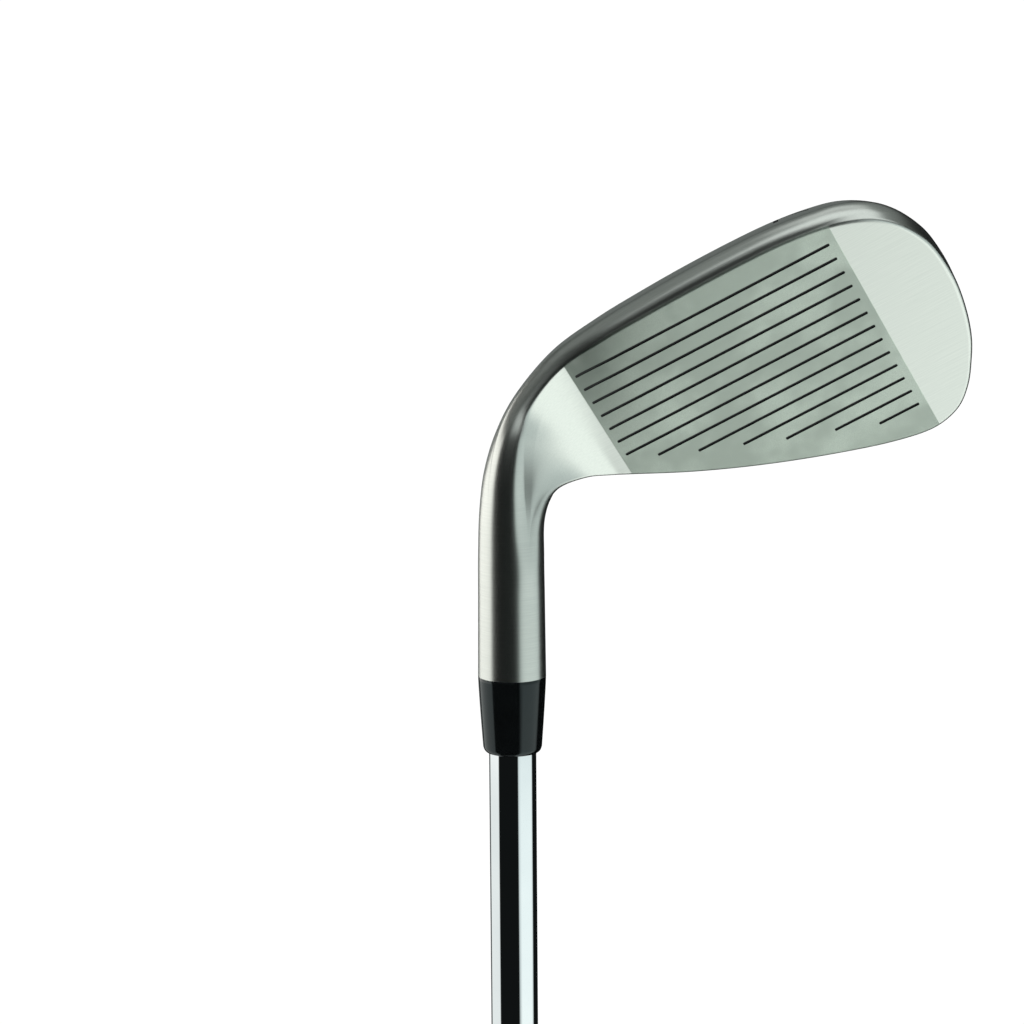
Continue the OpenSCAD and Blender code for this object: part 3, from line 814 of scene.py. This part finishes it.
def cavity_outline(inset):
    """Outline as (a, b), at a distance inside the face's edge."""
    edge = []
    for i in range(len(TOP_EDGE) + len(TOE_EDGE)):
        a, b = EDGE_POINTS[i] - BAR * edge_normal(i)
        if a > CAVITY_HEEL and b > CAVITY_FOOT + ABOVE_FOOT:
            edge.append(EDGE_POINTS[i] - inset * edge_normal(i))
    low, left = CAVITY_FOOT + inset - BAR, CAVITY_HEEL + inset - BAR
    toe = edge[-1]
    line = [through(edge, k / EDGE_PARTS) for k in range((len(edge) - 1) * EDGE_PARTS + 1)]
    for x, start in ((toe[0] - CAVITY_CORNER, 0), (left + CAVITY_CORNER, -90)):
        for k in range(9):
            t = math.radians(start - 90 * k / 8)
            line.append(np.array([x + CAVITY_CORNER * math.cos(t),
                                  low + CAVITY_CORNER + CAVITY_CORNER * math.sin(t)]))
    return line


def cavity_cutters():
    """Pocket with a softened mouth and floor, and the slot that runs down behind the face."""
    rings = [on_face(cavity_outline(BAR + inset), depth) for inset, depth in POCKET_SIDE]
    plan = rounded_bar((SLOT_HEEL, SLOT_FOOT), (SLOT_TOE, CAVITY_FOOT + 1), SLOT_CORNER)
    slot = [on_face(plan, FACE_THICKNESS), on_face(plan, FACE_THICKNESS + SLOT_DEPTH)]
    return [loft("pocket_cut", rings, [CAVITY_STEEL]), loft("slot_cut", slot, [CAVITY_STEEL])]


def on_sole(x, y, z):
    """Point of the sole's frame: from heel to toe, backward, and out of the sole."""
    return SEAM + x * HEEL_TO_TOE + y * BACKWARD - z * SOLE_TO_TOP


WEIGHT_X, WEIGHT_Z, WEIGHT_END, WEIGHT_LENGTH, WEIGHT_R = 86, 49.3, 14.1, 9, 3.2


def turned_plug(name, profile, materials, segments=96):
    """Solid of revolution along the weight's bore, from (radius, distance forward of its end)."""
    angles = [2 * math.pi * k / segments for k in range(segments)]
    rings = [[on_sole(WEIGHT_X + max(r, 0.001) * math.cos(t), WEIGHT_END - d,
                      WEIGHT_Z + max(r, 0.001) * math.sin(t)) for t in angles] for r, d in profile]
    return loft(name, rings, materials)


weight_cut = turned_plug("weight_cut", [(WEIGHT_R, -3), (WEIGHT_R, WEIGHT_LENGTH)], [CAVITY_STEEL])
BORE_R, BORE_END, MOUTH_WIDENING, MOUTH_DEPTH = TIP_R + 0.12, SEAM_Z + 31, 0.7, 0.6
bore_cut = lathe("bore_cut", [
    (0, SEAM_Z - 1), (TIP_R + MOUTH_WIDENING, SEAM_Z - 1), (TIP_R + MOUTH_WIDENING, SEAM_Z - 0.01),
    (BORE_R, SEAM_Z + MOUTH_DEPTH), (BORE_R, BORE_END), (0, BORE_END)], [CAVITY_STEEL], 96, False)

# Number on the sole: a slim seven whose top is towards the heel
SEVEN = [(-3.6, -2.4), (-3.6, 2.2), (3.6, -0.6)]
NUMBER_PLACE, NUMBER_TILT = (90.6, 4.2, 54.5), math.radians(7.65)
NUMBER_DEPTH, NUMBER_STROKE, NUMBER_DRAFT, NUMBER_ABOVE = 0.4, 1.0, 0.02, 2


def number_ring(height, shrink):
    """Outline of the seven at a height over the sole, drawn in a little by shrink."""
    (x0, y0), (x1, y1), (x2, y2) = SEVEN
    half, stroke = shrink / 2, NUMBER_STROKE - shrink
    sine, cosine = math.sin(NUMBER_TILT), math.cos(NUMBER_TILT)
    x_place, y_place, z_place = NUMBER_PLACE
    return [on_sole(x_place + x * cosine + height * sine, y_place + y,
                    z_place - x * sine + height * cosine)
            for x, y in ((x0 + half, y0 + shrink), (x1 + half, y1 - half),
                         (x2 - shrink, y2 + stroke / 2), (x2 - shrink, y2 - stroke / 2),
                         (x1 + half + stroke, y1 - half - stroke),
                         (x0 + half + stroke, y0 + shrink))]


number_rings = [number_ring(-NUMBER_DEPTH, NUMBER_DRAFT), number_ring(0, 0),
                number_ring(NUMBER_ABOVE, 0)]
number_cut = loft("number_cut", number_rings, [NUMBER_PAINT])
pocket_cut, slot_cut = cavity_cutters()
for cutter, wall in (
    (joined("groove_cut", groove_cutters()), LINE_PAINT), (pocket_cut, CAVITY_STEEL),
    (slot_cut, CAVITY_STEEL), (weight_cut, CAVITY_STEEL), (bore_cut, CAVITY_STEEL),
    (number_cut, NUMBER_PAINT),
):
    cut(head, painted(cutter, wall))
weighted(head)
soften(head.data, 35)
piece(head, "head_body")

# ---- Ferrule and shaft ----
FERRULE_LENGTH, FERRULE_END_R, FERRULE_ROUND = SEAM_Z - FERRULE_FOOT, 5.75, 1.1
FERRULE_LIP, FERRULE_SWELL, FERRULE_SIDE, FERRULE_PARTS = 0.12, 1.2, 0.92, 24


def ferrule_radius(t):
    """Radius at a share of the ferrule's length from the hosel."""
    return HOSEL_R - (HOSEL_R - FERRULE_END_R) * t ** FERRULE_SWELL


ferrule_profile = [(TIP_R, SEAM_Z), (HOSEL_R - FERRULE_LIP, SEAM_Z),
                   (HOSEL_R - 0.03, SEAM_Z - 0.04)]
for part in range(FERRULE_PARTS + 1):
    down = part / FERRULE_PARTS * FERRULE_SIDE
    ferrule_profile.append((ferrule_radius(down), SEAM_Z - FERRULE_LIP - down * FERRULE_LENGTH))
ferrule_profile += arc((FERRULE_END_R + 0.03 - FERRULE_ROUND, FERRULE_FOOT + FERRULE_ROUND),
                       FERRULE_ROUND, 0, -90, 8)
ferrule_profile += [(TIP_R, FERRULE_FOOT)]
piece(lathe("ferrule_skirt", ferrule_profile[::-1], [FERRULE_BLACK]), "ferrule")

STEPS, STEP_LENGTH, STEP_TAPER = 15, 38, 1.6
FIRST_STEP = TIP_Z - 215
WALL = 0.45
# A step's outline: share of its length and share of its growth
STEP_SHAPE = [(-0.4, 0), (0, 0.06), (0.25, 0.2), (0.5, 0.5), (0.75, 0.8), (1, 0.94), (1.4, 1)]


def shaft_radius(k):
    """Radius on the butt's side of step k."""
    return TIP_R + (BUTT_R - TIP_R) * (k + 1) / STEPS


def shaft_side(grow):
    """The shaft's side from tip to butt, moved outward by grow."""
    side = [(TIP_R + grow, TIP_Z)]
    for k in range(STEPS):
        z = FIRST_STEP - k * STEP_LENGTH
        r0, r1 = shaft_radius(k - 1) + grow, shaft_radius(k) + grow
        side += [(r0 + (r1 - r0) * share, z - t * STEP_TAPER) for t, share in STEP_SHAPE]
    side.append((BUTT_R + grow, BUTT_Z))
    return side


shaft_profile = shaft_side(-WALL) + shaft_side(0)[::-1]
piece(lathe("stepped_shaft", shaft_profile, [CHROME]), "shaft")

# ---- Badge and weight ----
BADGE_GAP, TAPE, BADGE = 0.4, 0.5, 1.3
BADGE_LOW, BADGE_HIGH = FACE_THICKNESS + TAPE, FACE_THICKNESS + TAPE + BADGE
# The plate's side and its raised frame: distance inside its outline, and depth behind the face
BADGE_SIDE = [(0.02, BADGE_LOW), (0, BADGE_LOW + 0.03), (0, BADGE_HIGH - 0.28),
              (0.08, BADGE_HIGH - 0.09), (0.28, BADGE_HIGH), (2.0, BADGE_HIGH),
              (2.2, BADGE_HIGH - 0.08), (2.4, BADGE_HIGH - 0.4), (2.6, BADGE_HIGH - 0.45)]
badge_rings = [on_face(cavity_outline(BAR + BADGE_GAP + inset), depth)
               for inset, depth in BADGE_SIDE]
badge = loft("cavity_badge_plate", badge_rings, [brushed_badge()])
weighted(badge)
piece(badge, "cavity_badge")

WEIGHT_CENTRE = tuple(on_sole(WEIGHT_X, WEIGHT_END, WEIGHT_Z) * MM)
TUNGSTEN = turned_metal("weight_turned_tungsten", colour(0.40, 0.405, 0.41),
                        colour(0.58, 0.585, 0.59), WEIGHT_CENTRE)
weight = turned_plug("toe_weight_plug", [
    (0, 0.12), (0.45, 0.1), (0.7, 0.02), (0.9, 0), (WEIGHT_R - 0.45, 0), (WEIGHT_R - 0.2, 0.07),
    (WEIGHT_R - 0.06, 0.22), (WEIGHT_R, 0.45), (WEIGHT_R, WEIGHT_LENGTH - 0.3),
    (WEIGHT_R - 0.3, WEIGHT_LENGTH), (0, WEIGHT_LENGTH)], [TUNGSTEN])
weighted(weight)
piece(weight, "toe_weight")

# ---- Label band, grip and cap ----
FILM, FILM_ROUND = 0.08, 0.05
# The printed rings: distance of each from the band's end, and half of its width, in metres
BAND_RINGS, RING_SOFT = [(0.003, 0.0005), (0.0045, 0.00025)], 0.00006


def band_film():
    """Dark printed film with plain rings."""
    made, n, p, place = material("shaft_band_film", IOR=1.45, Coat_Weight=0.5, Coat_Roughness=0.1)
    height = n.add("ShaderNodeSeparateXYZ", Vector=place).outputs[2]
    rings = None
    for end, sign in ((BAND_FOOT * MM, 1), (BAND_TOP * MM, -1)):
        for inward, half in BAND_RINGS:
            away = n.math("ABSOLUTE", n.math("SUBTRACT", height, end + sign * inward))
            ring = n.step(away, half + RING_SOFT, half - RING_SOFT)
            rings = ring if rings is None else n.math("MAXIMUM", rings, ring)
    grain = n.noise(place, 900, 3.0, 0.6)
    film = n.mix(grain, colour(0.018, 0.02, 0.023), colour(0.03, 0.033, 0.037))
    n.finish(p, n.mix(rings, film, colour(0.62, 0.64, 0.66)), n.spread(grain, 0.22, 0.34))
    return made


film_r, film_edge_r = BAND_R - FILM, BAND_R - FILM + FILM * 0.7
band = lathe("shaft_band_label", [
    (film_r, BAND_FOOT), (film_edge_r, BAND_FOOT), (BAND_R, BAND_FOOT + FILM_ROUND),
    (BAND_R, BAND_TOP - FILM_ROUND), (film_edge_r, BAND_TOP), (film_r, BAND_TOP)], [band_film()])
piece(band, "shaft_band")

GRIP_RUBBER = rubber("grip_rubber", colour(0.012, 0.012, 0.013))
CAP_RUBBER = rubber("cap_rubber", colour(0.01, 0.01, 0.011), 1200, (0.42, 0.6), 0.00003)
GRIP_R, GRIP_NECK, GRIP_FALL, MOUTH_R, BEAD = 13.1, 8.75, 1.35, 9.3, 5
TAPE_THICKNESS = 0.15
MARKS, MARK_W, MARK_DEPTH, MARK_EDGE = (236, 242, 248), 1.2, 0.35, 0.06
CELLS_ROUND, CELL_SAMPLES, CELL_HEIGHT = 20, 8, 3.6
SIGN_DEPTH, HALF_LINE, ARM_REACH = 0.34, 0.1, 0.6
PATTERN_LOW, PATTERN_ROWS = 20, 57
PATTERN_HIGH = PATTERN_LOW + PATTERN_ROWS * CELL_HEIGHT


def grip_radius(z):
    share = 1 - (z - GRIP_START) / (GRIP_END - GRIP_START)
    return GRIP_NECK + (GRIP_R - GRIP_NECK) * share ** GRIP_FALL


def relief(turns, z):
    """Depth of the moulded pattern: rows of small plus signs, every other row moved half a cell."""
    row = math.floor((z - PATTERN_LOW) / CELL_HEIGHT)
    v = ((z - PATTERN_LOW) / CELL_HEIGHT) % 1.0
    u = (turns * CELLS_ROUND + 0.5 * (row % 2)) % 1.0
    across, along = sorted((abs(u - 0.5) * 2, abs(v - 0.5) * 2))
    return SIGN_DEPTH if across < HALF_LINE and along < ARM_REACH else 0.0


def grip_body():
    """Sleeve from its foot up the outside, over the bead at its mouth and down the inside."""
    segments = CELLS_ROUND * CELL_SAMPLES
    plain, pattern, mark = 0, 1, 2
    heights = [(z, plain) for z in (GRIP_START, GRIP_START + 0.4, PATTERN_LOW - 0.2,
                                    PATTERN_HIGH + 0.2, GRIP_END - BEAD)]
    z = GRIP_START + 2
    while z < PATTERN_LOW - 1:
        heights.append((z, plain))
        z += 3
    heights += [(PATTERN_LOW + k * CELL_HEIGHT / CELL_SAMPLES, pattern)
                for k in range(PATTERN_ROWS * CELL_SAMPLES + 1)]
    for m in MARKS:
        heights += [(m - MARK_EDGE, plain), (m, mark), (m + MARK_W, mark),
                    (m + MARK_W + MARK_EDGE, plain)]
    heights.sort()
    rings = []
    for z, kind in heights:
        depths = [relief(k / segments, z) if kind == pattern else MARK_DEPTH if kind == mark else 0
                  for k in range(segments)]
        rings.append([(grip_radius(z) - depth, z) for depth in depths])
    bead = [(MOUTH_R - 0.25, GRIP_END - BEAD + 0.5), (MOUTH_R, GRIP_END - BEAD + 1.2),
            (MOUTH_R, GRIP_END - 1.6), (MOUTH_R - 0.2, GRIP_END - 0.8),
            (MOUTH_R - 0.6, GRIP_END - 0.2), (MOUTH_R - 1.0, GRIP_END)]
    inner_r = BUTT_R + TAPE_THICKNESS + 0.01
    inside = [(7.1, GRIP_END), (7.2, GRIP_END - 12), (inner_r, GRIP_START + 80),
              (inner_r, GRIP_START)]
    rings += [[q] * segments for q in bead + inside]
    points = []
    for ring in rings:
        for k, (r, z) in enumerate(ring):
            t = 2 * math.pi * k / segments
            points.append((r * math.cos(t), r * math.sin(t), z))
    faces = []
    for i in range(len(rings)):
        low, high = i * segments, (i + 1) % len(rings) * segments
        for k in range(segments):
            m = (k + 1) % segments
            faces.append((low + k, low + m, high + m, high + k))
    return new_object("grip_sleeve_moulded", points, faces, [GRIP_RUBBER], 35)


piece(grip_body(), "grip_sleeve")

WHITE_FILL = paint("grip_mark_white_paint", colour(0.8, 0.8, 0.77), (0.4, 0.6), 1500)
rings = []
for m in MARKS:
    inner, low, high = grip_radius(m) - MARK_DEPTH - 0.02, m + 0.01, m + MARK_W - 0.01
    outer = grip_radius(m + MARK_W / 2) - 0.04
    rings.append(lathe(f"mark_{m}", [
        (inner, low), (outer - 0.05, low), (outer, low + 0.15), (outer, high - 0.15),
        (outer - 0.05, high), (inner, high)], [WHITE_FILL], 160))
piece(joined("grip_mark_rings", rings), "grip_marks")

CAP_ROUND, CAP_SIDE, CAP_FLOOR, VENT_R = 2.6, 0.6, 5, 1.6
CAP_HOLLOW_R = BUTT_R + TAPE_THICKNESS
# The cap's two shallow rings start at these radii. Their outline is outward and inward from there.
FACE_RINGS = (4.4, 8.6)
FACE_RING_SHAPE = [(0, 0), (0.12, 0.22), (0.4, 0.3), (0.68, 0.22), (0.8, 0)]
cap_profile = [(VENT_R, CAP_FOOT + CAP_FLOOR), (VENT_R, CAP_FOOT + 0.35),
               (VENT_R + 0.1, CAP_FOOT + 0.1), (VENT_R + 0.35, CAP_FOOT)]
for r in FACE_RINGS:
    cap_profile += [(r + out, CAP_FOOT + into) for out, into in FACE_RING_SHAPE]
cap_profile += arc((CAP_R - CAP_ROUND, CAP_FOOT + CAP_ROUND), CAP_ROUND, -90, 0, 12)
cap_profile += arc((CAP_R - CAP_ROUND, CAP_FOOT + CAP_ROUND + CAP_SIDE), CAP_ROUND, 0, 60, 8)
cap_profile += [(GRIP_R + 0.35, CAP_TOP - 1.75), (GRIP_R + 0.2, CAP_TOP - 1.4), (GRIP_R, CAP_TOP),
                (CAP_HOLLOW_R, CAP_TOP), (CAP_HOLLOW_R, CAP_FOOT + CAP_FLOOR)]
piece(lathe("grip_cap_moulded", cap_profile, [CAP_RUBBER]), "grip_cap")

# ---- Materials of the CAD nodes that stay ----
KEPT = {
    "score_line_paint": LINE_PAINT,
    "sole_number_paint": NUMBER_PAINT,
    "badge_tape": plain_grain("tape_foam", colour(0.02, 0.02, 0.02), colour(0.07, 0.07, 0.07),
                              1400, (0.75, 0.95)),
    "badge_pad": plain_grain("pad_rubber", colour(0.015, 0.015, 0.017), colour(0.03, 0.03, 0.033),
                             900, (0.6, 0.8)),
    "hosel_epoxy": plain_grain("epoxy_resin", colour(0.42, 0.38, 0.24), colour(0.6, 0.56, 0.4),
                               700, (0.15, 0.3)),
    "tip_weight": turned_metal("tip_weight_brass", colour(0.5, 0.34, 0.10),
                               colour(0.72, 0.53, 0.22)),
    "grip_tape": plain_grain("tape_paper", colour(0.55, 0.5, 0.4), colour(0.72, 0.68, 0.58),
                             1100, (0.8, 0.95)),
}
for node, stuff in KEPT.items():
    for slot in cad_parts[node].material_slots:
        slot.material = stuff

# ---- Camera, light and floor ----
CAMERA_AZIMUTH, CAMERA_ELEVATION, CAMERA_ROLL = map(math.radians, (4.986, 10.245, -0.437))
CAMERA_DISTANCE, CAMERA_LENS = 0.69087, 123.73
CAMERA_TARGET = Vector((0.000233, 0, SEAM_Z * MM + 0.032808))

camera_data = bpy.data.cameras.new("camera")
camera_data.lens = CAMERA_LENS
camera_data.sensor_width = 36
camera_data.clip_start = 0.01
camera_data.clip_end = 100
camera = bpy.data.objects.new("camera", camera_data)
scene.collection.objects.link(camera)
back = Vector((math.sin(CAMERA_AZIMUTH) * math.cos(CAMERA_ELEVATION),
               -math.cos(CAMERA_AZIMUTH) * math.cos(CAMERA_ELEVATION), math.sin(CAMERA_ELEVATION)))
right = Vector((0, 0, 1)).cross(back).normalized()
up = back.cross(right)
sine, cosine = math.sin(CAMERA_ROLL), math.cos(CAMERA_ROLL)
turn = Matrix((cosine * right + sine * up, cosine * up - sine * right, back)).transposed()
camera.matrix_world = Matrix.Translation(CAMERA_TARGET + CAMERA_DISTANCE * back) @ turn.to_4x4()
scene.camera = camera


# Soft boxes: azimuth from the front towards the toe, elevation, softness of both borders, colour
# and level. They stand on the left, lower left, right, lower right, above and behind.
SOFT_BOXES = [
    ((-137, -68), (-13.5, 20), (3, 1.5), (1.0, 0.985, 0.945), 1.44),
    ((-137, -68), (-60, -13.5), (3, 1.5), (0.955, 1.0, 0.97), 0.9),
    ((31, 112), (-19, 10), (3, 5), (0.86, 0.97, 0.95), 0.76),
    ((38, 108), (-84, -19), (9, 9), (0.94, 1.0, 0.96), 1.42),
    ((-28, 78), (27, 66), (10, 6), (0.95, 1.0, 0.98), 1.05),
    ((-190, -145), (-20, 24), (3, 6), (0.92, 1.0, 0.97), 0.17),
]
ROOM = (0.006, 0.007, 0.007)


def studio():
    """Soft boxes in a dark room for the reflections, and a white sweep for the camera."""
    world = bpy.data.worlds.new("studio")
    scene.world = world
    world.use_nodes = True
    tree = world.node_tree
    tree.nodes.clear()
    n = Nodes(tree)
    direction = tree.nodes.new("ShaderNodeTexCoord").outputs["Generated"]
    parts = n.add("ShaderNodeSeparateXYZ", Vector=direction)
    x, y, z = parts.outputs
    azimuth = n.math("MULTIPLY", n.math("ARCTAN2", x, n.math("MULTIPLY", y, -1.0)), 180 / math.pi)
    elevation = n.math("MULTIPLY", n.math("ARCSINE", z), 180 / math.pi)

    def window(value, low, high, soft):
        """1 between two borders and 0 outside them."""
        return n.math("MULTIPLY", n.step(value, low - soft, low + soft),
                      n.step(value, high + soft, high - soft))

    def outside(low, high, soft):
        return n.math("SUBTRACT", 1.0, window(azimuth, low, high, soft))

    def lit(mask, rgb, level):
        return n.vector("SCALE", tuple(c * level for c in rgb), scale=mask)

    lights = [lit(n.math("MULTIPLY", window(azimuth, *azimuths, softness[0]),
                         window(elevation, *elevations, softness[1])), rgb, level)
              for azimuths, elevations, softness, rgb, level in SOFT_BOXES]
    # A weak ceiling beside the upper box, a brighter patch overhead, and a weak glow from below
    overhead = n.math("MULTIPLY", n.step(elevation, 24, 40), outside(-28, 78, 10))
    below = n.math("MULTIPLY", n.step(elevation, -66, -80), outside(38, 140, 9))
    lights += [lit(overhead, (0.92, 1.0, 0.96), 0.2),
               lit(n.step(elevation, 58, 74), (0.97, 1.0, 0.98), 0.55),
               lit(below, (0.95, 1.0, 0.97), 0.3)]
    total = ROOM
    for light in lights:
        total = n.vector("ADD", total, light)
    room = tree.nodes.new("ShaderNodeBackground")
    tree.links.new(total, room.inputs["Color"])
    sweep = tree.nodes.new("ShaderNodeBackground")
    sweep.inputs["Color"].default_value = (1, 1, 1, 1)
    sweep.inputs["Strength"].default_value = 1.05
    choose = tree.nodes.new("ShaderNodeMixShader")
    to_camera = tree.nodes.new("ShaderNodeLightPath").outputs["Is Camera Ray"]
    tree.links.new(to_camera, choose.inputs[0])
    tree.links.new(room.outputs[0], choose.inputs[1])
    tree.links.new(sweep.outputs[0], choose.inputs[2])
    out = tree.nodes.new("ShaderNodeOutputWorld")
    tree.links.new(choose.outputs[0], out.inputs[0])


studio()

key_data = bpy.data.lights.new("key", "SUN")
key_data.energy = 2.0
key_data.angle = math.radians(50)
key = bpy.data.objects.new("key", key_data)
key.rotation_euler = (math.radians(28), math.radians(-18), 0)
key.visible_glossy = False
scene.collection.objects.link(key)


def floor_material():
    """Matt pale floor with faint clouds. Its roughness is the same all over."""
    made, n, p, place = material("pale_floor", Roughness=0.9)
    cloud = n.noise(place, 3.0, 3.0, 0.5)
    n.give(p.inputs["Base Color"], n.mix(cloud, colour(0.86, 0.87, 0.86), colour(0.9, 0.9, 0.9)))
    return made


FLOOR_R, FLOOR_SIDES = 2400, 128
floor_angles = [2 * math.pi * k / FLOOR_SIDES for k in range(FLOOR_SIDES)]
floor_ring = [(FLOOR_R * math.cos(t), FLOOR_R * math.sin(t), 0) for t in floor_angles]
floor = new_object("floor", floor_ring, [list(range(FLOOR_SIDES))], [floor_material()], 0)
floor.location.z = float(cad_low[2])
floor.visible_glossy = False

scene.view_settings.view_transform = "Standard"
scene.view_settings.look = "None"
